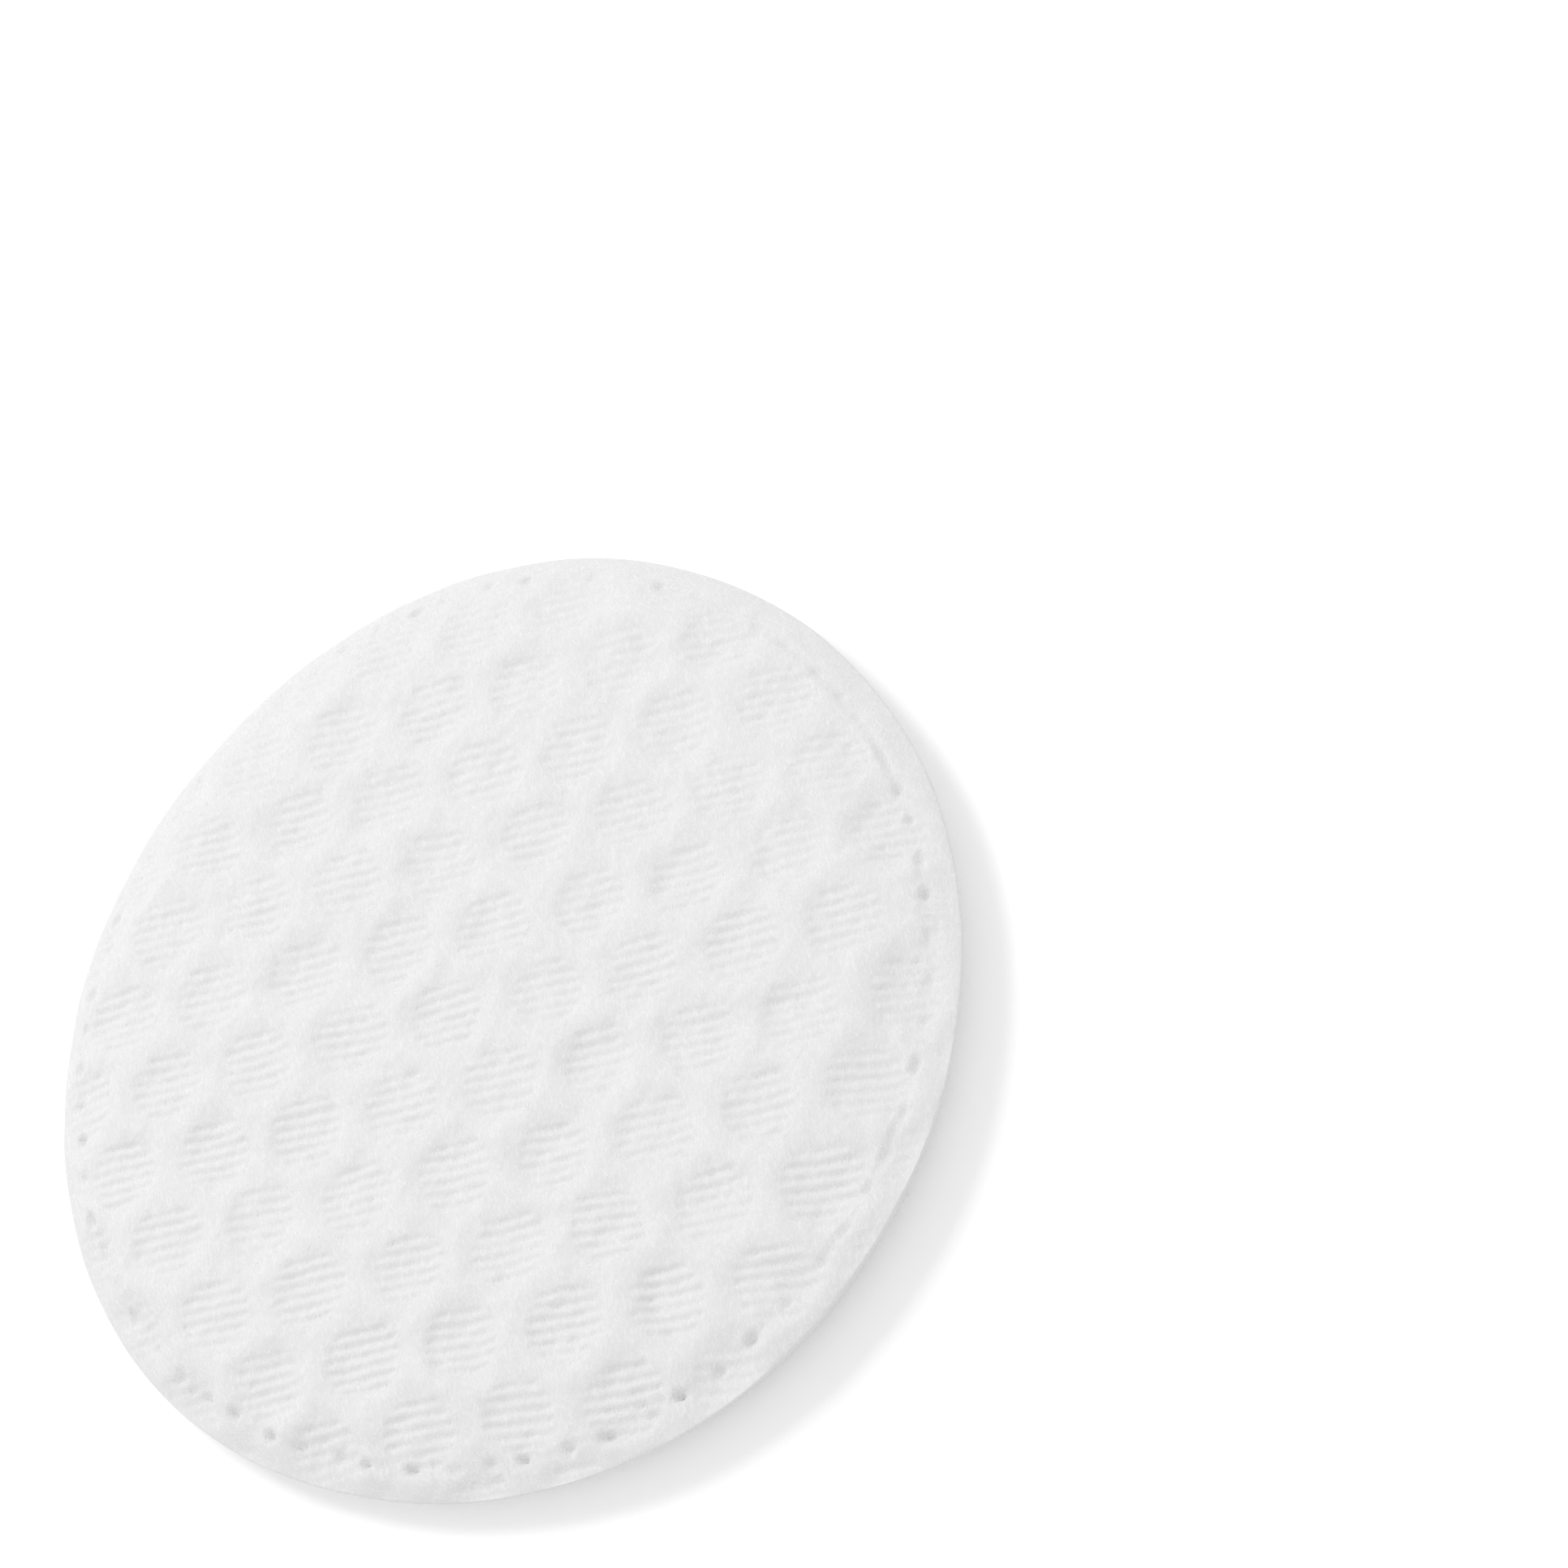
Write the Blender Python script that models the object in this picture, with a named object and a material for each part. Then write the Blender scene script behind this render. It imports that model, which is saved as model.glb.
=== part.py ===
"""Round cotton pad, made as one piece.

The upper face is crowned, and embossed with round patches, each pressed into parallel
grooves, so that the cotton between the patches puffs up. A ring of needle dimples runs just
inside the rim, and the rim is pinched to a thin flange. The underside is plain and flat.
Metres, +Z up, with the origin under the middle of the pad and +X along the grooves.
"""

import math

import bmesh
import bpy
from mathutils import Vector
from mathutils.geometry import delaunay_2d_cdt

# Overall form
PAD_DIAMETER = 0.057
PAD_THICKNESS = 0.0044
SHOULDER_WIDTH = 0.006
FOOT_WIDTH = 0.0026

# Pinched flange at the cut edge
FLANGE_WIDTH = 0.0004
FLANGE_THICKNESS = 0.0004
FLANGE_HEIGHT = 0.0019

# Embossed patches, in staggered rows along X
PATCH_PITCH = 0.0061
PATCH_ROW_SPACING = 0.00485
PATCH_DIAMETER = 0.0043
PATCH_DEPTH = 0.00045
PATCH_WALL_WIDTH = 0.0012
PATTERN_SHIFT_X = -0.00208
PATTERN_SHIFT_Y = -0.00033
FULL_EMBOSS_RISE = 0.0012

# Grooves pressed into the floor of each patch
GROOVE_PITCH = 0.00068
GROOVE_DEPTH = 0.00026
GROOVE_RUN_OUT = 0.0004

# Ring of needle dimples, joined by a shallow crease
RING_INSET = 0.0017
DIMPLE_PITCH = 0.0024
DIMPLE_LENGTH = 0.0012
DIMPLE_WIDTH = 0.0008
DIMPLE_DEPTH = 0.0005
CREASE_WIDTH = 0.0009
CREASE_DEPTH = 0.0002

# Curve of the crown, from a quarter ellipse at 2 and 0.5 to a softer slope
CROWN_SQUARENESS = 2.2
CROWN_SLOPE = 0.75

# How finely the faces are divided
PATCH_RING_POINTS = 12
PATCH_RING_PLACE = 0.6
DIMPLE_POINTS = 8
DIMPLE_SLOPE_PLACE = 0.55
POINT_CLEARANCE = 0.00035
SHORTEST_GROOVE = 0.0004
MERGE_DISTANCE = 1e-7
LIP_STEPS = (0.4, 0.8)
FOOT_STEPS = (0.92, 0.68)

# Cotton
COTTON_COLOUR = (0.84, 0.84, 0.84, 1.0)
COTTON_ROUGHNESS = 0.95
COTTON_SHEEN = 0.3

pad_radius = PAD_DIAMETER / 2
flange_root = pad_radius - FLANGE_WIDTH
flange_top = FLANGE_HEIGHT + FLANGE_THICKNESS
shoulder_start = flange_root - SHOULDER_WIDTH
foot_edge = flange_root - FOOT_WIDTH
ring_radius = pad_radius - RING_INSET
dimple_count = max(3, round(2 * math.pi * ring_radius / DIMPLE_PITCH))
patch_radius = PATCH_DIAMETER / 2
half_band = max(DIMPLE_WIDTH, CREASE_WIDTH) / 2
band_start = ring_radius - half_band
lip_start = ring_radius + half_band
pattern_limit = band_start - POINT_CLEARANCE


def quarter_round(share):
    """Height of a quarter ellipse, from 1 at its crown to 0 at its foot."""
    share = min(max(share, 0.0), 1.0)
    return math.sqrt(1.0 - share * share)


def crown(share):
    """The upper face's softer fall towards the rim, from 1 to 0."""
    share = min(max(share, 0.0), 1.0)
    return (1.0 - share ** CROWN_SQUARENESS) ** CROWN_SLOPE


def soft_step(share):
    """A smooth fall from 1 to 0."""
    share = min(max(share, 0.0), 1.0)
    return 0.5 + 0.5 * math.cos(math.pi * share)


def plain_top(radius):
    """Height of the upper face before it is embossed."""
    fall = crown((radius - shoulder_start) / SHOULDER_WIDTH)
    return flange_top + (PAD_THICKNESS - flange_top) * fall


def plain_foot(radius):
    """Height of the underside, which is flat inside the foot's edge."""
    return FLANGE_HEIGHT * (1.0 - quarter_round((radius - foot_edge) / FOOT_WIDTH))


def patch_centres():
    """Centres of all the patches that touch the pad, row by row."""
    rows = math.ceil((pad_radius + abs(PATTERN_SHIFT_Y)) / PATCH_ROW_SPACING) + 1
    columns = math.ceil((pad_radius + abs(PATTERN_SHIFT_X)) / PATCH_PITCH) + 1
    for row in range(-rows, rows + 1):
        stagger = 0.5 * PATCH_PITCH * (row % 2)
        y = PATTERN_SHIFT_Y + row * PATCH_ROW_SPACING
        for column in range(-columns, columns + 1):
            x = PATTERN_SHIFT_X + column * PATCH_PITCH + stagger
            if math.hypot(x, y) < pad_radius + patch_radius:
                yield x, y


def near_patches(x, y):
    """For each patch round a point: how far off its middle is, and how far across the grooves."""
    row = round((y - PATTERN_SHIFT_Y) / PATCH_ROW_SPACING)
    for near_row in (row - 1, row, row + 1):
        start = PATTERN_SHIFT_X + 0.5 * PATCH_PITCH * (near_row % 2)
        first = math.floor((x - start) / PATCH_PITCH)
        across = y - PATTERN_SHIFT_Y - near_row * PATCH_ROW_SPACING
        for column in (first, first + 1):
            along = x - start - column * PATCH_PITCH
            yield math.hypot(along, across), across


def emboss_depth(x, y):
    """How far the roller has pressed the upper face down, where neighbours' walls add up."""
    depth = 0.0
    for distance, across in near_patches(x, y):
        depth += PATCH_DEPTH * soft_step((distance - patch_radius) / PATCH_WALL_WIDTH)
        groove = 0.5 - 0.5 * math.cos(2 * math.pi * across / GROOVE_PITCH)
        inside = soft_step((distance - patch_radius + GROOVE_RUN_OUT) / GROOVE_RUN_OUT)
        depth += GROOVE_DEPTH * groove * inside
    return depth


def crease_depth(x, y):
    """Depth of the crease that joins the needle dimples."""
    off_ring = math.hypot(x, y) - ring_radius
    return CREASE_DEPTH * soft_step(abs(off_ring) / (CREASE_WIDTH / 2))


def dimple_depth(x, y):
    """How far a needle dimple goes below the cotton round it."""
    off_ring = math.hypot(x, y) - ring_radius
    step = 2 * math.pi / dimple_count
    angle = math.atan2(y, x)
    along_ring = (angle - step * round(angle / step)) * ring_radius
    reach = math.hypot(along_ring / (DIMPLE_LENGTH / 2), off_ring / (DIMPLE_WIDTH / 2))
    return DIMPLE_DEPTH * soft_step(reach)


def upper_height(x, y):
    """Height of the embossed and crimped upper face, which runs out plain at the flange."""
    top = plain_top(math.hypot(x, y))
    share = min((top - flange_top) / FULL_EMBOSS_RISE, 1.0)
    pressed = max(emboss_depth(x, y), crease_depth(x, y)) + dimple_depth(x, y)
    return top - pressed * share


class FacePoints:
    """Points of the upper face, with the lines that its triangles have to follow."""

    def __init__(self):
        self.points = []
        self.lines = []

    def add(self, x, y):
        self.points.append(Vector((x, y)))
        return len(self.points) - 1

    def add_if_clear(self, x, y):
        """Leave out a point that would crowd one already placed."""
        spot = Vector((x, y))
        if all((spot - other).length > POINT_CLEARANCE for other in self.points):
            self.points.append(spot)

    def add_line(self, stops):
        """A run of points, which the triangles follow."""
        placed = [self.add(x, y) for x, y in stops]
        self.lines += zip(placed, placed[1:])

    def add_ring(self, radius, count):
        """A closed ring, which the triangles follow."""
        first = len(self.points)
        for x, y in ring_points(radius, count):
            self.add(x, y)
        for k in range(count):
            self.lines.append((first + k, first + (k + 1) % count))


def ring_points(radius, count):
    """Points spaced evenly round a circle about the origin."""
    for k in range(count):
        angle = 2 * math.pi * k / count
        yield radius * math.cos(angle), radius * math.sin(angle)


def add_grooves(face, centre_x, centre_y):
    """One line along each rib and each groove of a patch, ending short of the crease."""
    half_pitch = GROOVE_PITCH / 2
    reach = math.ceil(patch_radius / half_pitch) - 1
    for k in range(-reach, reach + 1):
        across = k * half_pitch
        y = centre_y + across
        if abs(y) >= pattern_limit:
            continue
        half_chord = math.sqrt(patch_radius ** 2 - across ** 2)
        limit = math.sqrt(pattern_limit ** 2 - y ** 2)
        start = max(centre_x - half_chord, -limit)
        end = min(centre_x + half_chord, limit)
        if end - start <= SHORTEST_GROOVE:
            continue
        stops = [start, end]
        is_groove = k % 2 == 1
        if is_groove and end - start > 3 * GROOVE_RUN_OUT:
            stops = [start, start + GROOVE_RUN_OUT, end - GROOVE_RUN_OUT, end]
        face.add_line([(x, y) for x in stops])


def add_crease(face):
    """A ring along each edge of the crease, and points in and round each needle dimple."""
    face.add_ring(band_start, 2 * dimple_count)
    face.add_ring(lip_start, 2 * dimple_count)
    half_length = DIMPLE_LENGTH / 2
    half_width = DIMPLE_WIDTH / 2
    spots = [(0.0, 0.0), (-half_length, 0.0), (half_length, 0.0)]
    for along, out in ring_points(DIMPLE_SLOPE_PLACE, DIMPLE_POINTS):
        spots.append((along * half_length, out * half_width))
    for k in range(dimple_count):
        middle = 2 * math.pi * k / dimple_count
        for along, out in spots:
            radius = ring_radius + out
            angle = middle + along / ring_radius
            face.add(radius * math.cos(angle), radius * math.sin(angle))


def add_puffs(face, centres):
    """Points on the slope round each patch and on the puffs between the patches."""
    slope_radius = patch_radius + PATCH_RING_PLACE * PATCH_WALL_WIDTH
    puff_offset = PATCH_ROW_SPACING / 2 + PATCH_PITCH ** 2 / (8 * PATCH_ROW_SPACING)
    for centre_x, centre_y in centres:
        spots = [(0.0, puff_offset), (0.0, -puff_offset)]
        spots += ring_points(slope_radius, PATCH_RING_POINTS)
        for x, y in spots:
            if math.hypot(centre_x + x, centre_y + y) < pattern_limit:
                face.add_if_clear(centre_x + x, centre_y + y)


def upper_face_points():
    """All the points of the upper face, features first."""
    face = FacePoints()
    face.add_ring(pad_radius, 2 * dimple_count)
    face.add_ring(flange_root, 2 * dimple_count)
    for share in LIP_STEPS:
        face.add_ring(lip_start + share * (flange_root - lip_start), dimple_count)
    centres = list(patch_centres())
    for centre_x, centre_y in centres:
        add_grooves(face, centre_x, centre_y)
    add_crease(face)
    add_puffs(face, centres)
    return face


def add_upper_face(mesh):
    """Triangulate the upper face, lift it to its height and return its outer ring."""
    face = upper_face_points()
    triangulation = delaunay_2d_cdt(face.points, face.lines, [], 0, MERGE_DISTANCE)
    spots, _, triangles, sources, _, _ = triangulation
    corners = [mesh.verts.new((x, y, upper_height(x, y))) for x, y in spots]
    for triangle in triangles:
        mesh.faces.new([corners[k] for k in triangle])
    outer = [None] * (2 * dimple_count)
    for corner, source in zip(corners, sources):
        for k in source:
            if k < len(outer):
                outer[k] = corner
    return outer


def bridge(mesh, upper, lower):
    """Faces between two rings, where the lower may have half as many points."""
    ratio = len(upper) // len(lower)
    count = len(upper)
    for k in range(count):
        a, b = upper[k], upper[(k + 1) % count]
        c = lower[(k // ratio) % len(lower)]
        d = lower[((k + 1) // ratio) % len(lower)]
        mesh.faces.new([b, a, c] if c is d else [b, a, c, d])


def add_underside(mesh, outer):
    """Flange edge, rounded foot and flat underside."""
    radii = [(pad_radius, len(outer)), (flange_root, len(outer))]
    radii += [(foot_edge + share * FOOT_WIDTH, dimple_count) for share in FOOT_STEPS]
    radii.append((foot_edge, dimple_count))
    upper = outer
    for radius, count in radii:
        height = plain_foot(min(radius, flange_root))
        lower = [mesh.verts.new((x, y, height)) for x, y in ring_points(radius, count)]
        bridge(mesh, upper, lower)
        upper = lower
    mesh.faces.new(list(reversed(upper)))


def cotton_material():
    """Matt white cotton."""
    material = bpy.data.materials.new("cotton")
    material.use_nodes = True
    shader = material.node_tree.nodes["Principled BSDF"]
    shader.inputs["Base Color"].default_value = COTTON_COLOUR
    shader.inputs["Roughness"].default_value = COTTON_ROUGHNESS
    shader.inputs["Metallic"].default_value = 0.0
    shader.inputs["Sheen Weight"].default_value = COTTON_SHEEN
    return material


def make_cotton_pad():
    """The pad as one closed body."""
    mesh = bmesh.new()
    outer = add_upper_face(mesh)
    add_underside(mesh, outer)
    bmesh.ops.recalc_face_normals(mesh, faces=mesh.faces)
    data = bpy.data.meshes.new("cotton_pad")
    mesh.to_mesh(data)
    mesh.free()
    data.shade_smooth()
    data.materials.append(cotton_material())
    pad = bpy.data.objects.new("cotton_pad", data)
    bpy.context.scene.collection.objects.link(pad)
    return pad


def clear_scene():
    for item in list(bpy.data.objects):
        bpy.data.objects.remove(item, do_unlink=True)


clear_scene()
make_cotton_pad()
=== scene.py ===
"""Looks of a round embossed cotton pad: its soft surface, loose fibres, floor, light and camera.

The pad lies flat with its embossed face up. Metres, +Z up, +X along the pressed grooves.
"""

import math

import bpy
import numpy as np
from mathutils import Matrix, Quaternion, Vector
from mathutils.geometry import delaunay_2d_cdt


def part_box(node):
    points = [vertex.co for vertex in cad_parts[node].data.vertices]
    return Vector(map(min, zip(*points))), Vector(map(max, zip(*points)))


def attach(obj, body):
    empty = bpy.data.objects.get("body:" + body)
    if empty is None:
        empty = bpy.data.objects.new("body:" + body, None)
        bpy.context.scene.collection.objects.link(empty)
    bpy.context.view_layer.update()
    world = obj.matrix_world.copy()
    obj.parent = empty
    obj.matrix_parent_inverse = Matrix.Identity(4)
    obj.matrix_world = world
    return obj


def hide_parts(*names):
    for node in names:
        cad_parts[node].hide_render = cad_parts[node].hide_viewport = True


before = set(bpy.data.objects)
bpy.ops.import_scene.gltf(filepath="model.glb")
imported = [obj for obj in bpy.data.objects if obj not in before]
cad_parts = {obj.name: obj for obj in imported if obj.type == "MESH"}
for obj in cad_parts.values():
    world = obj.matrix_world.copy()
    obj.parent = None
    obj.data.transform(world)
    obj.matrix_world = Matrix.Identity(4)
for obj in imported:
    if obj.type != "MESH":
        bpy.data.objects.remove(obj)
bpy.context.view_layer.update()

NODE = "cotton_pad"
MM = 0.001
pad_low, pad_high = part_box(NODE)
pad_radius = (pad_high[0] - pad_low[0]) / 2
pad_thickness = pad_high[2] - pad_low[2]

# A layer of unevenness, where one is named below, says how strong it is, how wide its lumps are
# and which seed it has.

# Form of the pad: a crowned face, a thin flange half-way up the edge, and a flat foot
SHOULDER_WIDTH = 6.25 * MM
CROWN_SQUARENESS = 2.2
CROWN_SLOPE = 0.8
FLANGE_WIDTH = 0.25 * MM
FLANGE_THICKNESS = 0.22 * MM
FLANGE_HEIGHT = 1.9 * MM
FOOT_WIDTH = 2.6 * MM
UNDERSIDE_LAYER = (0.05 * MM, 2.6 * MM, 41)
flange_root = pad_radius - FLANGE_WIDTH
flange_top = FLANGE_HEIGHT + FLANGE_THICKNESS
flange_middle = FLANGE_HEIGHT + 0.55 * FLANGE_THICKNESS
flange_low_edge = flange_middle - 0.28 * FLANGE_THICKNESS

# How the cut web has been handled: the outline's lobes, each its count, size and turn, its jitter,
# a wave along the rim, and the side where the rim turns up and its outermost band flares
OUTLINE_LOBES = ((3, 0.24 * MM, 4.03), (5, 0.05 * MM, 0.6))
OUTLINE_LAYER = (0.05 * MM, 3.0 * MM, 51)
OUTLINE_STRETCH = 12 * MM
RIM_WAVE_LAYER = (0.10 * MM, 3.4 * MM, 52)
RIM_WAVE_INSET = 0.8 * MM
RIM_WAVE_WIDTH = 1.2 * MM
TURN_UP_SIDE = math.radians(-28)
TURN_UP_FOCUS = 1.5
TURN_UP_HEIGHT = 0.9 * MM
TURN_UP_WIDTH = 3.6 * MM
TURN_UP_CURVE = 1.5
TURN_UP_REACH = 0.32 * MM
FLARE_HEIGHT = 0.26 * MM
FLARE_WIDTH = 1.2 * MM
FLARE_CURVE = 1.4

# Embossed patches and the grooves in them
PATCH_PITCH = 6.1 * MM
PATCH_ROW_SPACING = 4.85 * MM
PATTERN_SHIFT = (-2.08 * MM, -0.33 * MM)
PATCH_DEPTH = 0.375 * MM
FLOOR_RADIUS = 0.8 * MM
PUFF_REACH = 3.5 * MM
GROOVE_PITCH = 0.68 * MM
GROOVE_DEPTH = 0.094 * MM
GROOVE_SHARPNESS = 1.2
GROOVE_REACH = 2.35 * MM
GROOVE_FADE = 0.35 * MM

# How the embossing varies: from patch to patch, over the pad, along the grooves, and at the rim
PATCH_VARIATION = (0.28, 5)
GROOVE_VARIATION = (0.2, 9)
ALONG_LAYERS = ((0.20 * MM, 5.0 * MM, 1), (0.09 * MM, 1.1 * MM, 2))
ACROSS_LAYERS = ((0.14 * MM, 5.0 * MM, 3), (0.025 * MM, 1.1 * MM, 4))
RAGGED_LAYERS = ((0.22 * MM, 1.3 * MM, 10), (0.10 * MM, 0.6 * MM, 11))
PRESS_LAYER = (0.14, 2.0 * MM, 6)
PRESS_LEVEL = 1.05
PRESS_TILT = 0.4
PRESS_LIMITS = (0.85, 1.5)
BLOTCH_LEVEL = 0.95
LONG_BLOTCH_LAYER = (0.36, 0.75 * MM, 8)
LONG_BLOTCH_STRETCH = 1.5
SHORT_BLOTCH_LAYER = (0.40, 0.42 * MM, 12)
BLOTCH_LIMITS = (0.2, 1.5)
FULL_EMBOSS_RISE = 1.6 * MM
FULL_EMBOSS_TILT = 0.5

# Ring of needle dimples, the crease that joins them and the low lip outside it
ring_radius = pad_radius - 1.7 * MM
RING_LAYER = (0.06 * MM, 4.0 * MM, 22)
DIMPLE_PITCH = 2.4 * MM
DIMPLE_LENGTH = 1.3 * MM
DIMPLE_WIDTH = 0.9 * MM
DIMPLE_DEPTH = 0.60 * MM
DIMPLE_TURN = 0.16
DIMPLE_DRIFT = 0.12 * MM
DIMPLE_DEPTH_SHARES = (0.15, 1.1)
DIMPLE_LENGTH_SHARES = (0.75, 1.35)
DIMPLE_SEED = 21
CREASE_WIDTH = 1.0 * MM
CREASE_DEPTH = 0.16 * MM
CREASE_LEVEL = 0.7
CREASE_LAYER = (0.6, 3.0 * MM, 23)
CREASE_LIMITS = (0.1, 1.4)
CREASE_SIDE_GAIN = 0.9
LIP_HEIGHT = 0.08 * MM
LIP_OFFSET = 0.8 * MM
LIP_WIDTH = 0.4 * MM
dimple_count = round(2 * math.pi * ring_radius / DIMPLE_PITCH)

# Lumps of the loose cotton
BROAD_LUMPS = ((0.14 * MM, 4.2 * MM, 31), (0.12 * MM, 1.9 * MM, 32))
FINE_LUMPS = ((0.054 * MM, 0.85 * MM, 33), (0.030 * MM, 0.42 * MM, 34))

# Spacing of the surface's points
GROOVE_STEP = GROOVE_PITCH / 6
ALONG_STEP = 0.22 * MM
PUFF_STEP = 0.26 * MM
UNDERSIDE_STEP = 0.75 * MM
TRIANGLE_ROWS = 0.87
PATCH_CLEARANCE = 0.1 * MM
RING_STEP = 0.18 * MM
RING_BAND = 0.75 * MM
RIM_START = 0.8 * MM
RIM_POINTS = 840
RIM_FALL_RINGS = 9
RIM_RISE_RINGS = 8
TOP_EDGE_INSET = 0.03 * MM
LOW_EDGE_INSET = 0.05 * MM

# Map for baking: two islands in a unit square
BAKE_MARGIN = 3.0 * MM
BAKE_RADIUS = 0.24
BAKE_CENTRES = (0.25, 0.75)

# Loose fibres on the face
FIBRE_RADIUS = 0.009 * MM
FIBRE_SIZES = (0.6, 1.25)
FIBRE_STOPS = 6
FIBRE_TIP = 0.12
FIBRE_TAPER = 0.4
FIBRES_PER_PIECE = 6100
SURFACE_FIBRE_PIECES = 3
SURFACE_FIBRE_SEED = 60
FIBRE_LENGTHS = (0.8 * MM, 1.9 * MM)
FIBRE_HEADING = math.pi / 2
FIBRE_HEADING_SPREAD = 0.75
FIBRE_BEND = 0.9 / MM
FIBRE_LIFT = 0.9
FIBRE_SINK = 0.3
FIBRE_MARGIN = 0.1 * MM

# Hairs at the rim
RIM_HAIRS = 3000
RIM_HAIR_SEED = 70
HAIR_SIZES = (0.35, 0.75)
HAIR_LENGTHS = (0.25 * MM, 0.9 * MM)
HAIR_UPPER_SHARE = 0.62
HAIR_UPPER_INSET = 2.6 * MM
HAIR_LOWER_INSET = 1.2 * MM
HAIR_UPPER_RISE = (0.2, 1.0)
HAIR_LOWER_RISE = (-0.5, 0.1)
HAIR_SWING = 0.8
HAIR_CURL = 0.5
HAIR_CURL_SHAPE = np.array([1, 1, 0.6])
HAIR_ROOT = 0.03 * MM

# Looks of the cotton and its loose fibres, whose lighter colour is painted light, and the streaks: their
# turn, width and length
COTTON_COLOUR = (0.86, 0.86, 0.86, 1.0)
# The loose fibres are the same cotton in a lighter colour: painted light, so they show as lit strands over
# the face
FIBRE_PAINTED_LIGHT_COLOUR = (0.97, 0.97, 0.97, 1.0)
COTTON_ROUGHNESS = 0.95
COTTON_SPECULAR = 0.15
SHEEN_WEIGHT = 0.12
SHEEN_ROUGHNESS = 0.6
STREAKS = (
    (0.10, 0.12 * MM, 0.50 * MM),
    (-0.60, 0.12 * MM, 0.44 * MM),
    (0.90, 0.14 * MM, 0.44 * MM),
)
STREAK_HEIGHT = 0.017 * MM
STREAK_RANGE = (0.48, 0.66)
STREAK_TINT = (0.958, 1.045)

# Camera, fitted to the pad's outline and embossing in the picture
CAMERA_PLACE = Vector((91.6 * MM, -92.7 * MM, 194.5 * MM))
CAMERA_AIM = Vector((18.7 * MM, 9.7 * MM, 2.3 * MM))
CAMERA_ROLL = math.radians(-45.2)
CAMERA_LENS = 93.2
SENSOR_WIDTH = 36.0
CLIP_RANGE = (0.005, 50.0)

# Light and floor
KEY_PLACE = Vector((-144 * MM, 157 * MM, 314 * MM))
KEY_SIZE = 125 * MM
KEY_POWER = 0.426
WORLD_LEVEL = 0.765
WHITE = (1.0, 1.0, 1.0, 1.0)
GROUND_COLOUR = (0.95, 0.95, 0.95, 1.0)
GROUND_GLOW = 0.16
GROUND_RADIUS = 0.25
GROUND_DROP = 0.02 * MM
GROUND_POINTS = 96


def noise(x, y, size, seed):
    """Smooth noise between -1 and 1, whose lumps are about the given size across."""
    cells = 256
    table = np.random.default_rng(seed).uniform(-1.0, 1.0, (cells, cells))
    u, v = x / size + 0.37 * seed, y / size + 0.61 * seed
    i, j = np.floor(u).astype(int), np.floor(v).astype(int)
    a, b = u - i, v - j
    a = a * a * a * (a * (6 * a - 15) + 10)
    b = b * b * b * (b * (6 * b - 15) + 10)
    i0, i1, j0, j1 = i % cells, (i + 1) % cells, j % cells, (j + 1) % cells
    low = table[i0, j0] * (1 - a) + table[i1, j0] * a
    high = table[i0, j1] * (1 - a) + table[i1, j1] * a
    return low * (1 - b) + high * b


def layered(x, y, *layers):
    """The sum of layers of noise."""
    return sum(strength * noise(x, y, size, seed) for strength, size, seed in layers)


def soft_step(share):
    """A smooth fall from 1 to 0."""
    return 0.5 + 0.5 * np.cos(np.pi * np.clip(share, 0.0, 1.0))


def quarter_round(share):
    """A quarter ellipse, from 1 at its crown to 0 at its foot."""
    return np.sqrt(1.0 - np.clip(share, 0.0, 1.0) ** 2)


def rim_share(radius, width):
    """0 where a band at the rim begins, 1 at the pad's edge."""
    return np.clip((radius - pad_radius + width) / width, 0.0, 1.0)


def near_patches(x, y):
    """For each patch close by: how far off its middle, along and across its grooves, its row and column."""
    row = np.round((y - PATTERN_SHIFT[1]) / PATCH_ROW_SPACING)
    for near_row in (row - 1, row, row + 1):
        start = PATTERN_SHIFT[0] + 0.5 * PATCH_PITCH * (near_row % 2)
        first = np.floor((x - start) / PATCH_PITCH)
        dy = y - PATTERN_SHIFT[1] - near_row * PATCH_ROW_SPACING
        for column in (first, first + 1):
            dx = x - start - column * PATCH_PITCH
            yield dx, dy, near_row.astype(int), column.astype(int)


def patch_distance(x, y):
    """Distance from the middle of the nearest patch."""
    return np.min([np.hypot(dx, dy) for dx, dy, _, _ in near_patches(x, y)], axis=0)


def puff_fall(distance):
    """1 on a patch's floor, which rises like a shallow bowl to 0 at the crown of a puff."""
    return soft_step((distance - FLOOR_RADIUS) / (PUFF_REACH - FLOOR_RADIUS))


def patch_gain(rows, columns, variation):
    """A factor about 1 for each patch, from how much it varies and a seed."""
    spread, seed = variation
    table = np.random.default_rng(seed).uniform(-1.0, 1.0, (64, 64))
    return 1.0 + spread * table[rows % 64, columns % 64]


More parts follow.
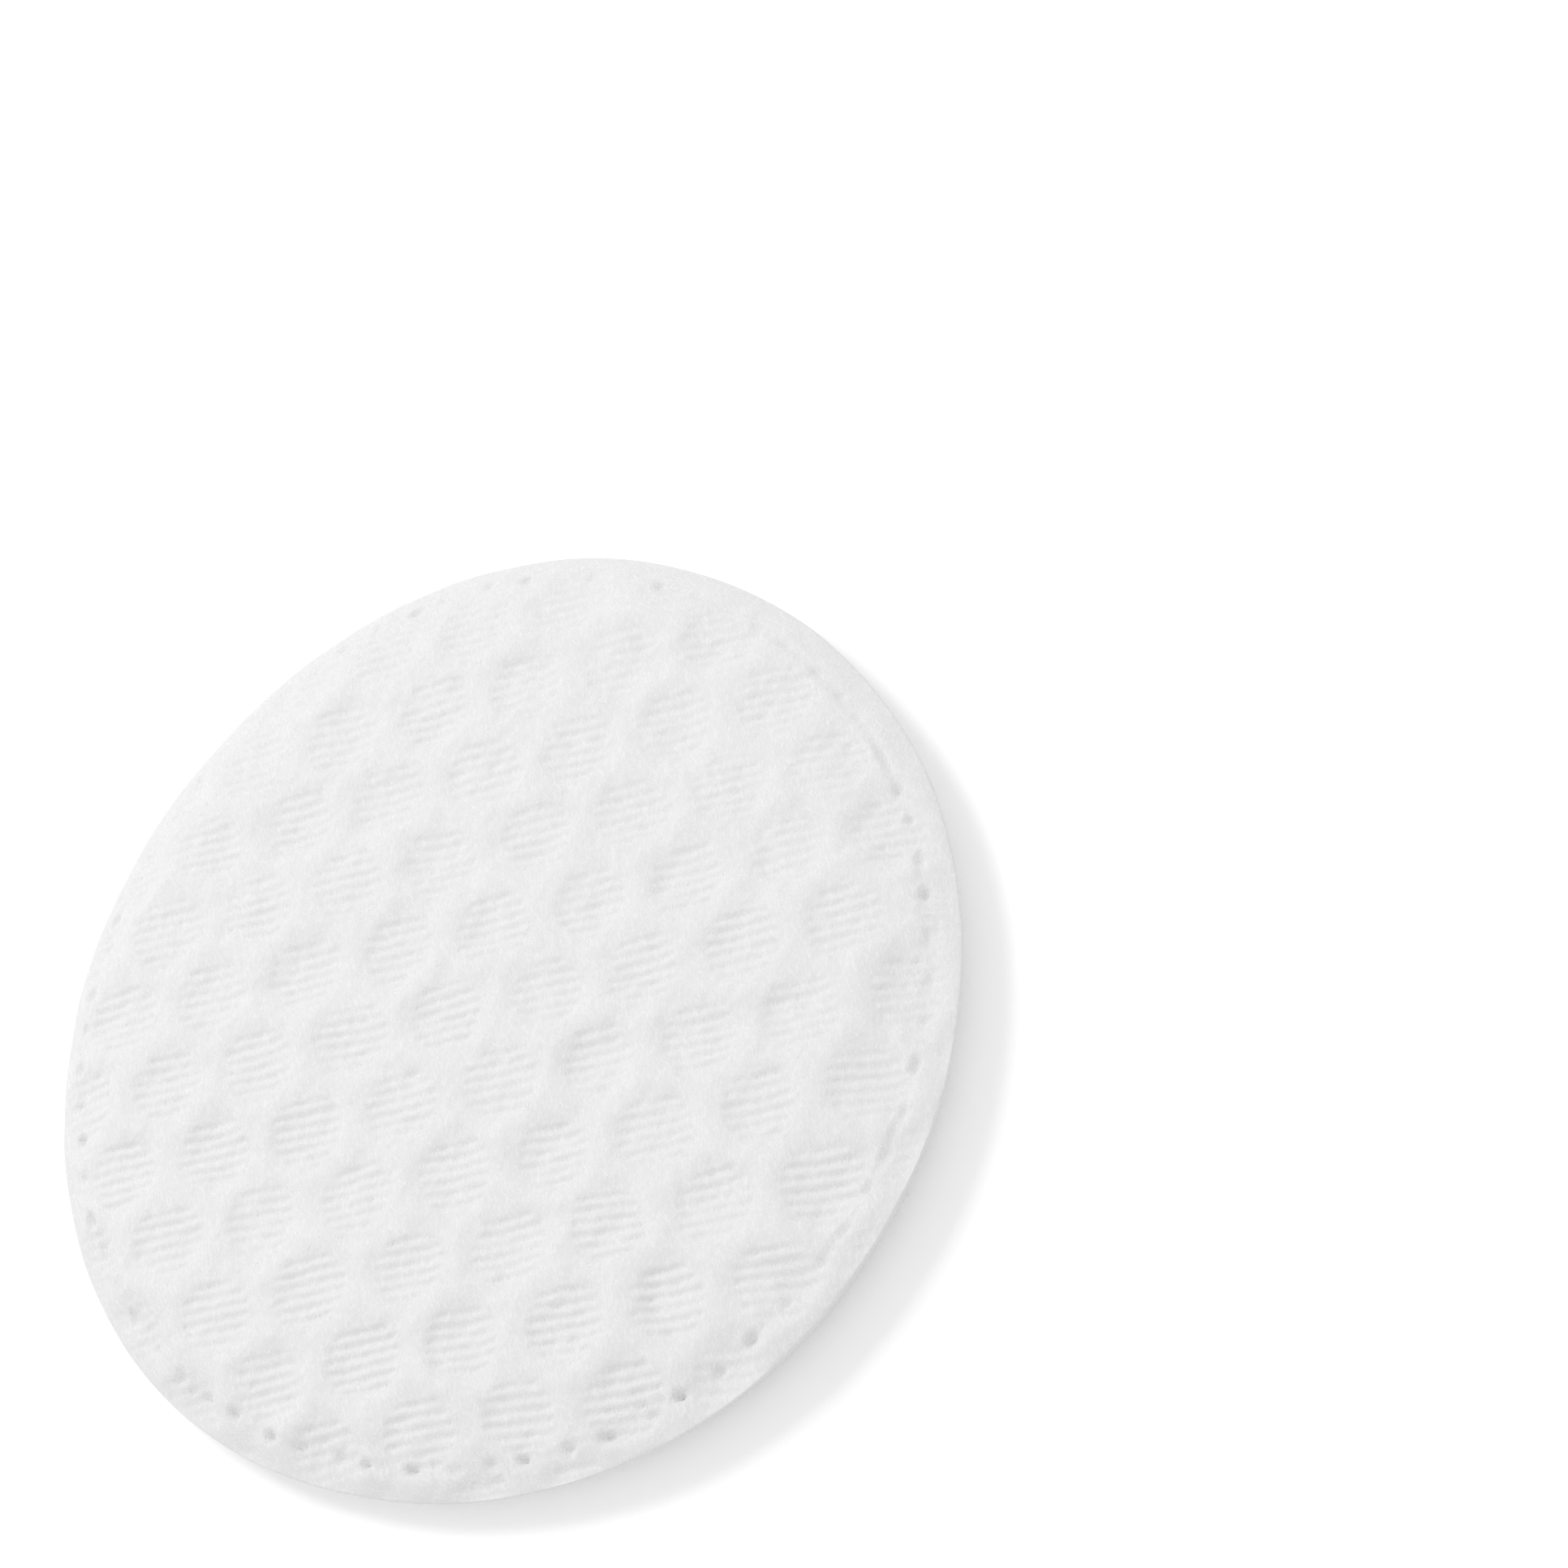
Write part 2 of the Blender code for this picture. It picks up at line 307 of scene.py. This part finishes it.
def emboss_depth(x, y):
    """How far the roller has pressed the cotton down, uneven as in loose fibre."""
    u = x + layered(x, y, *ALONG_LAYERS)
    v = y + layered(x, y, *ACROSS_LAYERS)
    ragged = layered(x, y, *RAGGED_LAYERS)
    tilt = np.clip(PRESS_LEVEL - PRESS_TILT * y / pad_radius, *PRESS_LIMITS)
    uneven = (1.0 + layered(x, y, PRESS_LAYER)) * tilt
    long_blotch = layered(x, y * LONG_BLOTCH_STRETCH, LONG_BLOTCH_LAYER)
    blotch = np.clip(BLOTCH_LEVEL + long_blotch + layered(x, y, SHORT_BLOTCH_LAYER), *BLOTCH_LIMITS)
    depth = np.zeros_like(x)
    for dx, dy, rows, columns in near_patches(u, v):
        distance = np.hypot(dx, dy)
        gain = patch_gain(rows, columns, PATCH_VARIATION)
        depth += PATCH_DEPTH * gain * uneven * puff_fall(distance + ragged)
        groove = (0.5 - 0.5 * np.cos(2 * np.pi * dy / GROOVE_PITCH)) ** GROOVE_SHARPNESS
        inside = soft_step((distance - GROOVE_REACH + GROOVE_FADE) / GROOVE_FADE)
        gain = patch_gain(rows, columns, GROOVE_VARIATION)
        depth += GROOVE_DEPTH * gain * uneven * blotch * groove * inside
    return depth


def off_ring(x, y):
    """Distance outside the slightly wandering ring of dimples."""
    return np.hypot(x, y) - ring_radius - layered(x, y, RING_LAYER)


def crease_depth(x, y):
    """Depth of the crease that joins the needle dimples."""
    uneven = np.clip(CREASE_LEVEL + layered(x, y, CREASE_LAYER), *CREASE_LIMITS)
    side = 1.0 + CREASE_SIDE_GAIN * np.clip(np.cos(np.arctan2(y, x)), 0.0, 1.0)
    return CREASE_DEPTH * side * uneven * soft_step(np.abs(off_ring(x, y)) / (CREASE_WIDTH / 2))


def dimple_depth(x, y):
    """How far a needle dimple goes below the cotton round it."""
    angle = np.arctan2(y, x)
    step = 2 * np.pi / dimple_count
    number = np.round(angle / step).astype(int) % dimple_count
    rng = np.random.default_rng(DIMPLE_SEED)
    turn = rng.uniform(-DIMPLE_TURN, DIMPLE_TURN, dimple_count) * step
    drift = rng.uniform(-DIMPLE_DRIFT, DIMPLE_DRIFT, dimple_count)
    depth_share = rng.uniform(*DIMPLE_DEPTH_SHARES, dimple_count)
    length_share = rng.uniform(*DIMPLE_LENGTH_SHARES, dimple_count)
    gap = angle - turn[number] - step * np.round((angle - turn[number]) / step)
    along = gap * ring_radius / (DIMPLE_LENGTH / 2 * length_share[number])
    across = (off_ring(x, y) - drift[number]) / (DIMPLE_WIDTH / 2)
    return DIMPLE_DEPTH * depth_share[number] * soft_step(np.hypot(along, across))


def upper_height(x, y):
    """Height of the upper face, crowned, and running out at the flange."""
    radius = np.hypot(x, y)
    share = rim_share(radius, SHOULDER_WIDTH)
    rise = (pad_thickness - flange_top) * (1.0 - share ** CROWN_SQUARENESS) ** CROWN_SLOPE
    full_rise = FULL_EMBOSS_RISE * (1.0 + FULL_EMBOSS_TILT * y / pad_radius)
    firm = np.minimum(rise / full_rise, 1.0)
    lip = LIP_HEIGHT * np.exp(-(((radius - ring_radius - LIP_OFFSET) / LIP_WIDTH) ** 2))
    pressed = np.maximum(emboss_depth(x, y), crease_depth(x, y)) + dimple_depth(x, y)
    return flange_top + rise + (layered(x, y, *BROAD_LUMPS, *FINE_LUMPS) + lip - pressed) * firm


def under_height(x, y):
    """Height of the underside, almost flat where the pad lies on it."""
    radius = np.hypot(x, y)
    rise = quarter_round((radius - flange_root + FOOT_WIDTH) / FOOT_WIDTH)
    uneven = (UNDERSIDE_LAYER[0] + layered(x, y, UNDERSIDE_LAYER)) / 2
    return FLANGE_HEIGHT * (1.0 - rise) + uneven * rise


def settle(points):
    """Points moved as the web has been cut and handled: the outline wanders and the rim turns up."""
    x, y = points[:, 0], points[:, 1]
    radius, angle = np.hypot(x, y), np.arctan2(y, x)
    side = np.clip(np.cos(angle - TURN_UP_SIDE), 0, 1) ** TURN_UP_FOCUS
    wander = sum(size * np.cos(count * angle - turn) for count, size, turn in OUTLINE_LOBES)
    wander += layered(angle * OUTLINE_STRETCH, np.zeros_like(angle), OUTLINE_LAYER)
    wander += TURN_UP_REACH * side
    reach = 1.0 + wander * np.clip(radius / pad_radius, 0, 1) ** 3 / np.maximum(radius, MM)
    out = points.copy()
    out[:, 0] *= reach
    out[:, 1] *= reach
    wave = np.clip((radius - flange_root + RIM_WAVE_INSET) / RIM_WAVE_WIDTH, 0, 1)
    out[:, 2] += wave * layered(x, y, RIM_WAVE_LAYER)
    out[:, 2] += TURN_UP_HEIGHT * side * rim_share(radius, TURN_UP_WIDTH) ** TURN_UP_CURVE
    out[:, 2] += FLARE_HEIGHT * side * rim_share(radius, FLARE_WIDTH) ** FLARE_CURVE
    return out


def grid(half, step_x, step_y):
    """Points of a square grid about the middle, whose odd rows are shifted by half a step."""
    x, y = np.meshgrid(np.arange(-half, half, step_x), np.arange(-half, half, step_y))
    x[1::2] += 0.5 * step_x
    return x.ravel(), y.ravel()


def circle(radius, count, shift=0.0):
    """Points evenly round a circle."""
    angle = (np.arange(count) + shift) * 2 * np.pi / count
    return np.stack([radius * np.cos(angle), radius * np.sin(angle)], 1)


def upper_points():
    """Where the upper face has its points: close in the grooves, wider on the puffs."""
    inner_limit = ring_radius - RING_BAND
    outer_limit = ring_radius + RING_BAND
    x, y = grid(pad_radius, ALONG_STEP, GROOVE_STEP)
    keep = (patch_distance(x, y) < GROOVE_REACH) & (np.hypot(x, y) < inner_limit)
    spots = [np.stack([x[keep], y[keep]], 1)]
    x, y = grid(pad_radius, PUFF_STEP, PUFF_STEP * TRIANGLE_ROWS)
    keep = (patch_distance(x, y) > GROOVE_REACH + PATCH_CLEARANCE) & (np.hypot(x, y) < inner_limit)
    spots.append(np.stack([x[keep], y[keep]], 1))
    for radius in np.arange(inner_limit + 0.5 * RING_STEP, outer_limit, RING_STEP):
        spots.append(circle(radius, RIM_POINTS, 0.5 * (len(spots) % 2)))
    return np.concatenate(spots)


def rim_rings():
    """Radius and face of each ring from the shoulder, round the flange and under to the foot."""
    start = ring_radius + RIM_START
    run = pad_radius - TOP_EDGE_INSET - start
    foot = flange_root - FOOT_WIDTH
    falls = start + run * np.sin(np.linspace(0.0, np.pi / 2, RIM_FALL_RINGS))
    rises = foot + FOOT_WIDTH * np.sin(np.linspace(np.pi / 2, 0.0, RIM_RISE_RINGS))
    edge = [(pad_radius, "edge"), (pad_radius - LOW_EDGE_INSET, "low edge")]
    under = [flange_root + 0.5 * FLANGE_WIDTH, *rises]
    return [(r, "top") for r in falls] + edge + [(r, "under") for r in under]


def ring_height(x, y, face):
    """Height of a ring's points, on the face that it belongs to."""
    if face == "top":
        return upper_height(x, y)
    if face == "under":
        return under_height(x, y)
    return np.full(x.shape, flange_middle if face == "edge" else flange_low_edge)


def triangulate(border, inner):
    """Joins flat spots with triangles. Gives the points, the faces, and which point each border spot is."""
    spots = np.concatenate([border, inner])
    points, _, faces, sources, _, _ = delaunay_2d_cdt([Vector(s) for s in spots], [], [], 0, 1e-9)
    place = np.full(len(border), -1)
    for number, origins in enumerate(sources):
        for origin in origins:
            if origin < len(border):
                place[origin] = number
    return np.array([tuple(p) for p in points]), np.array([f for f in faces if len(f) == 3]), place


def pad_surface():
    """All the points and faces of the pad before it is handled: upper face, flange and underside, closed."""
    rings = rim_rings()
    spots, top_faces, previous = triangulate(circle(rings[0][0], RIM_POINTS), upper_points())
    points = [np.column_stack([spots, upper_height(*spots.T)])]
    total = len(spots)
    quads = []
    for radius, face in rings[1:]:
        ring = circle(radius, RIM_POINTS)
        points.append(np.column_stack([ring, ring_height(*ring.T, face)]))
        current = total + np.arange(RIM_POINTS)
        quads.append(np.column_stack([previous, current, np.roll(current, -1), np.roll(previous, -1)]))
        previous = current
        total += RIM_POINTS
    foot = rings[-1][0]
    x, y = grid(foot, UNDERSIDE_STEP, UNDERSIDE_STEP * TRIANGLE_ROWS)
    keep = np.hypot(x, y) < foot - 0.5 * UNDERSIDE_STEP
    spots, under_faces, place = triangulate(circle(foot, RIM_POINTS), np.column_stack([x[keep], y[keep]]))
    number = np.full(len(spots), -1)
    number[place] = previous
    fresh = number < 0
    number[fresh] = total + np.arange(fresh.sum())
    points.append(np.column_stack([spots[fresh], under_height(*spots[fresh].T)]))
    return np.concatenate(points), [top_faces, np.concatenate(quads), number[under_faces][:, ::-1]]


def new_mesh(name, points, faces, smooth=True):
    """A mesh object from points and a list of arrays of faces."""
    mesh = bpy.data.meshes.new(name)
    sizes = np.concatenate([np.full(len(f), f.shape[1]) for f in faces])
    corners = np.concatenate([f.ravel() for f in faces]).astype(np.int32)
    mesh.vertices.add(len(points))
    mesh.vertices.foreach_set("co", points.astype(np.float32).ravel())
    mesh.loops.add(len(corners))
    mesh.loops.foreach_set("vertex_index", corners)
    mesh.polygons.add(len(sizes))
    starts = np.concatenate([[0], np.cumsum(sizes)[:-1]]).astype(np.int32)
    mesh.polygons.foreach_set("loop_start", starts)
    mesh.update(calc_edges=True)
    mesh.validate()
    if smooth:
        mesh.shade_smooth()
    else:
        mesh.shade_flat()
    made = bpy.data.objects.new(name, mesh)
    bpy.context.scene.collection.objects.link(made)
    return made


def add_bake_map(piece, points):
    """Two round islands, the upper face and the underside, opened out along the profile of the points."""
    mesh = piece.data
    corners = np.empty(len(mesh.loops), dtype=np.int32)
    mesh.loops.foreach_get("vertex_index", corners)
    sizes = np.empty(len(mesh.polygons), dtype=np.int32)
    mesh.polygons.foreach_get("loop_total", sizes)
    face_of = np.repeat(np.arange(len(sizes)), sizes)
    face_height = np.bincount(face_of, points[corners, 2]) / sizes
    upper = (face_height > flange_middle)[face_of]
    x, y, z = points[corners].T
    radius = np.hypot(x, y)
    drop = np.where(upper, pad_thickness - z, z)
    opened = (radius + drop * rim_share(radius, SHOULDER_WIDTH)) / (pad_radius + BAKE_MARGIN)
    scale = BAKE_RADIUS * opened / np.maximum(radius, 1e-9)
    uv = np.column_stack([np.where(upper, *BAKE_CENTRES) + x * scale, 0.5 + y * scale])
    layer = mesh.uv_layers.new(name="OFBake")
    layer.uv.foreach_set("vector", uv.astype(np.float32).ravel())


def fibre_mesh(name, centrelines, radii):
    """Thin three-sided closed tubes along centrelines of equal numbers of points."""
    count, stops, _ = centrelines.shape
    tangent = np.gradient(centrelines, axis=1)
    tangent /= np.maximum(np.linalg.norm(tangent, axis=2, keepdims=True), 1e-12)
    guide = np.array([0.13, 0.21, 0.97])
    side = np.cross(tangent, guide)
    side /= np.maximum(np.linalg.norm(side, axis=2, keepdims=True), 1e-9)
    other = np.cross(side, tangent)
    taper = np.sin(np.linspace(FIBRE_TIP, np.pi - FIBRE_TIP, stops)) ** FIBRE_TAPER
    size = radii[:, None, None] * taper[None, :, None]
    rings = []
    for k in range(3):
        angle = 2 * np.pi * k / 3 + np.pi / 6
        rings.append(centrelines + size * (np.cos(angle) * side + np.sin(angle) * other))
    points = np.stack(rings, 2).reshape(-1, 3)
    base = (np.arange(count) * stops * 3)[:, None, None]
    along = (np.arange(stops - 1) * 3)[None, :, None]
    k = np.arange(3)[None, None, :]
    a = base + along + k
    b = base + along + (k + 1) % 3
    quads = np.stack([a, b, b + 3, a + 3], -1).reshape(-1, 4)
    first = base[:, 0, :] + np.array([[2, 1, 0]])
    last = base[:, 0, :] + (stops - 1) * 3 + np.array([[0, 1, 2]])
    return new_mesh(name, points, [quads, first, last], smooth=False)


def walk(start, steps):
    """Running places from starts and steps."""
    return start[:, None] + np.concatenate([np.zeros((len(start), 1)), np.cumsum(steps, 1)], 1)


def surface_fibres(name, count, seed):
    """Short curved fibres that lie on the upper face and dip in and out of it."""
    rng = np.random.default_rng(seed)
    radius = (flange_root - FIBRE_MARGIN) * np.sqrt(rng.uniform(0, 1, count))
    turn = rng.uniform(0, 2 * np.pi, count)
    length = rng.uniform(*FIBRE_LENGTHS, count)
    heading = FIBRE_HEADING + rng.normal(0, FIBRE_HEADING_SPREAD, count)
    bend = rng.normal(0, FIBRE_BEND, count)
    share = np.linspace(-0.5, 0.5, FIBRE_STOPS)
    run = share[None, :] * length[:, None]
    angle = (heading[:, None] + bend[:, None] * run)[:, :-1]
    step = np.diff(run, axis=1)
    x = walk(radius * np.cos(turn), step * np.cos(angle))
    y = walk(radius * np.sin(turn), step * np.sin(angle))
    hold = np.minimum(1.0, (flange_root + FIBRE_MARGIN) / np.maximum(np.hypot(x, y), 1e-9))
    x, y = (x * hold).ravel(), (y * hold).ravel()
    lift = rng.uniform(0.0, FIBRE_LIFT, count)[:, None] * np.cos(np.pi * share)[None, :] ** 2
    z = upper_height(x, y) + FIBRE_RADIUS * (lift - FIBRE_SINK).ravel()
    centrelines = settle(np.column_stack([x, y, z])).reshape(count, FIBRE_STOPS, 3)
    return fibre_mesh(name, centrelines, FIBRE_RADIUS * rng.uniform(*FIBRE_SIZES, count))


def rim_fuzz(name, count, seed):
    """Fine hairs that stand out of the rounded rim, above and below the flange."""
    rng = np.random.default_rng(seed)
    turn = rng.uniform(0, 2 * np.pi, count)
    upper = rng.uniform(0, 1, count) < HAIR_UPPER_SHARE
    inset_above = rng.uniform(0.0, HAIR_UPPER_INSET, count)
    inset_below = rng.uniform(0.0, HAIR_LOWER_INSET, count)
    radius = flange_root - np.where(upper, inset_above, inset_below)
    x, y = radius * np.cos(turn), radius * np.sin(turn)
    z = np.where(upper, upper_height(x, y) - HAIR_ROOT, under_height(x, y) + HAIR_ROOT)
    rise = np.where(upper, rng.uniform(*HAIR_UPPER_RISE, count), rng.uniform(*HAIR_LOWER_RISE, count))
    heading = turn + rng.normal(0, HAIR_SWING, count)
    out = np.column_stack([np.cos(heading), np.sin(heading), rise])
    out /= np.linalg.norm(out, axis=1, keepdims=True)
    curl = rng.normal(0, HAIR_CURL, (count, 3)) * HAIR_CURL_SHAPE
    length = rng.uniform(*HAIR_LENGTHS, count)
    share = np.linspace(0.0, 1.0, FIBRE_STOPS)[None, :, None]
    path = out[:, None, :] * share + curl[:, None, :] * share ** 2
    centrelines = np.column_stack([x, y, z])[:, None, :] + length[:, None, None] * path
    centrelines = settle(centrelines.reshape(-1, 3)).reshape(count, FIBRE_STOPS, 3)
    centrelines[:, :, 2] = np.maximum(centrelines[:, :, 2], 2 * FIBRE_RADIUS)
    return fibre_mesh(name, centrelines, FIBRE_RADIUS * rng.uniform(*HAIR_SIZES, count))


def node(tree, kind, place, **settings):
    """A shader node with its settings, and values for the sockets that are named."""
    made = tree.nodes.new(kind)
    made.location = place
    for key, value in settings.items():
        if hasattr(made, key):
            setattr(made, key, value)
        else:
            made.inputs[key.replace("_", " ")].default_value = value
    return made


def plain_material(name, colour, roughness, specular):
    """A new material with one colour. Gives the material, its node tree and its shader."""
    material = bpy.data.materials.new(name)
    material.use_nodes = True
    shader = material.node_tree.nodes["Principled BSDF"]
    shader.inputs["Base Color"].default_value = colour
    shader.inputs["Roughness"].default_value = roughness
    shader.inputs["Specular IOR Level"].default_value = specular
    return material, material.node_tree, shader


def cotton(name, fibrous):
    """Matt white cotton. With fibrous set, its surface has the streaks of fine matted fibre; without it, the
    colour is lighter, painted light on the loose fibres.
    """
    colour = COTTON_COLOUR if fibrous else FIBRE_PAINTED_LIGHT_COLOUR
    material, tree, shader = plain_material(name, colour, COTTON_ROUGHNESS, COTTON_SPECULAR)
    shader.inputs["Sheen Weight"].default_value = SHEEN_WEIGHT
    shader.inputs["Sheen Roughness"].default_value = SHEEN_ROUGHNESS
    if fibrous:
        add_streaks(tree, shader)
    return material


def add_streaks(tree, shader):
    """Fine streaks that cross each other, as a low bump and a slight change of tint."""
    coordinates = node(tree, "ShaderNodeTexCoord", (-1600, 0))
    total = None
    for k, (angle, across, along) in enumerate(STREAKS):
        mapping = node(tree, "ShaderNodeMapping", (-1200, -300 * k))
        mapping.inputs["Rotation"].default_value = (0, 0, angle)
        mapping.inputs["Scale"].default_value = (1 / across, 1 / along, 1 / across)
        tree.links.new(coordinates.outputs["Object"], mapping.inputs["Vector"])
        streak = node(tree, "ShaderNodeTexNoise", (-1000, -300 * k), Scale=1.0, Detail=1.0, Distortion=0.9)
        tree.links.new(mapping.outputs["Vector"], streak.inputs["Vector"])
        if total is None:
            total = streak.outputs["Fac"]
            continue
        add = node(tree, "ShaderNodeMath", (-700, -200 * k), operation="ADD")
        tree.links.new(total, add.inputs[0])
        tree.links.new(streak.outputs["Fac"], add.inputs[1])
        total = add.outputs[0]
    bump = node(tree, "ShaderNodeBump", (-300, -300), Strength=1.0, Distance=STREAK_HEIGHT)
    tree.links.new(total, bump.inputs["Height"])
    tree.links.new(bump.outputs["Normal"], shader.inputs["Normal"])
    tint = node(
        tree, "ShaderNodeMapRange", (-400, 200),
        From_Min=STREAK_RANGE[0] * len(STREAKS), From_Max=STREAK_RANGE[1] * len(STREAKS),
        To_Min=STREAK_TINT[0], To_Max=STREAK_TINT[1],
    )
    tree.links.new(total, tint.inputs["Value"])
    colour = node(tree, "ShaderNodeVectorMath", (-200, 200), operation="SCALE")
    colour.inputs[0].default_value = COTTON_COLOUR[:3]
    tree.links.new(tint.outputs["Result"], colour.inputs["Scale"])
    tree.links.new(colour.outputs["Vector"], shader.inputs["Base Color"])


def place_object(name, data, place, turn):
    """A camera or lamp at its place."""
    made = bpy.data.objects.new(name, data)
    bpy.context.scene.collection.objects.link(made)
    made.location = place
    made.rotation_mode = "QUATERNION"
    made.rotation_quaternion = turn
    return made


def make_camera():
    """The picture's view: from the side and above, rolled, with the pad low on the left."""
    data = bpy.data.cameras.new("camera")
    data.lens = CAMERA_LENS
    data.sensor_width = SENSOR_WIDTH
    data.clip_start, data.clip_end = CLIP_RANGE
    aim = (CAMERA_AIM - CAMERA_PLACE).to_track_quat("-Z", "Y")
    turn = aim @ Quaternion((0, 0, 1), CAMERA_ROLL)
    bpy.context.scene.camera = place_object("camera", data, CAMERA_PLACE, turn)


def make_light():
    """A broad soft light from the picture's upper left, and an even white surrounding."""
    data = bpy.data.lights.new("key", "AREA")
    data.shape = "SQUARE"
    data.size = KEY_SIZE
    data.energy = KEY_POWER
    key = place_object("key", data, KEY_PLACE, (-KEY_PLACE).to_track_quat("-Z", "Y"))
    key.visible_camera = False
    world = bpy.data.worlds.new("white")
    bpy.context.scene.world = world
    world.use_nodes = True
    tree = world.node_tree
    background = tree.nodes["Background"]
    background.inputs["Color"].default_value = WHITE
    path = node(tree, "ShaderNodeLightPath", (-600, 0))
    level = node(tree, "ShaderNodeMapRange", (-300, 0), To_Min=WORLD_LEVEL, To_Max=1.0)
    tree.links.new(path.outputs["Is Camera Ray"], level.inputs["Value"])
    tree.links.new(level.outputs["Result"], background.inputs["Strength"])


def make_floor():
    """A white floor that keeps the pad's shadow."""
    ring = circle(GROUND_RADIUS, GROUND_POINTS)
    points = np.column_stack([ring, np.full(len(ring), -GROUND_DROP)])
    floor = new_mesh("floor", points, [np.arange(len(ring))[None, :]])
    material, tree, shader = plain_material("white_floor", GROUND_COLOUR, 1.0, 0.0)
    shader.inputs["Emission Color"].default_value = WHITE
    path = node(tree, "ShaderNodeLightPath", (-600, 0))
    glow = node(tree, "ShaderNodeMath", (-300, 0), operation="MULTIPLY")
    glow.inputs[1].default_value = GROUND_GLOW
    tree.links.new(path.outputs["Is Camera Ray"], glow.inputs[0])
    tree.links.new(glow.outputs[0], shader.inputs["Emission Strength"])
    floor.data.materials.append(material)


def dress(piece, material):
    """Give a piece its material, hide the pad's part, and let the piece ride with the root body."""
    piece.data.materials.append(material)
    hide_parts(NODE)
    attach(piece, "root")


bpy.context.scene.view_settings.view_transform = "Standard"
make_camera()
make_light()
make_floor()

surface_cotton = cotton("cotton_surface", True)
# The loose fibres' cotton is lighter than the face's: painted light on the fibres
painted_light_fibre_cotton = cotton("cotton_fibre_painted_light", False)
plain_points, pad_faces = pad_surface()
pad = new_mesh("pad", settle(plain_points), pad_faces)
add_bake_map(pad, plain_points)
dress(pad, surface_cotton)
for k in range(SURFACE_FIBRE_PIECES):
    dress(surface_fibres(f"fibres_{k + 1}", FIBRES_PER_PIECE, SURFACE_FIBRE_SEED + k), painted_light_fibre_cotton)
dress(rim_fuzz("rim_fuzz", RIM_HAIRS, RIM_HAIR_SEED), painted_light_fibre_cotton)
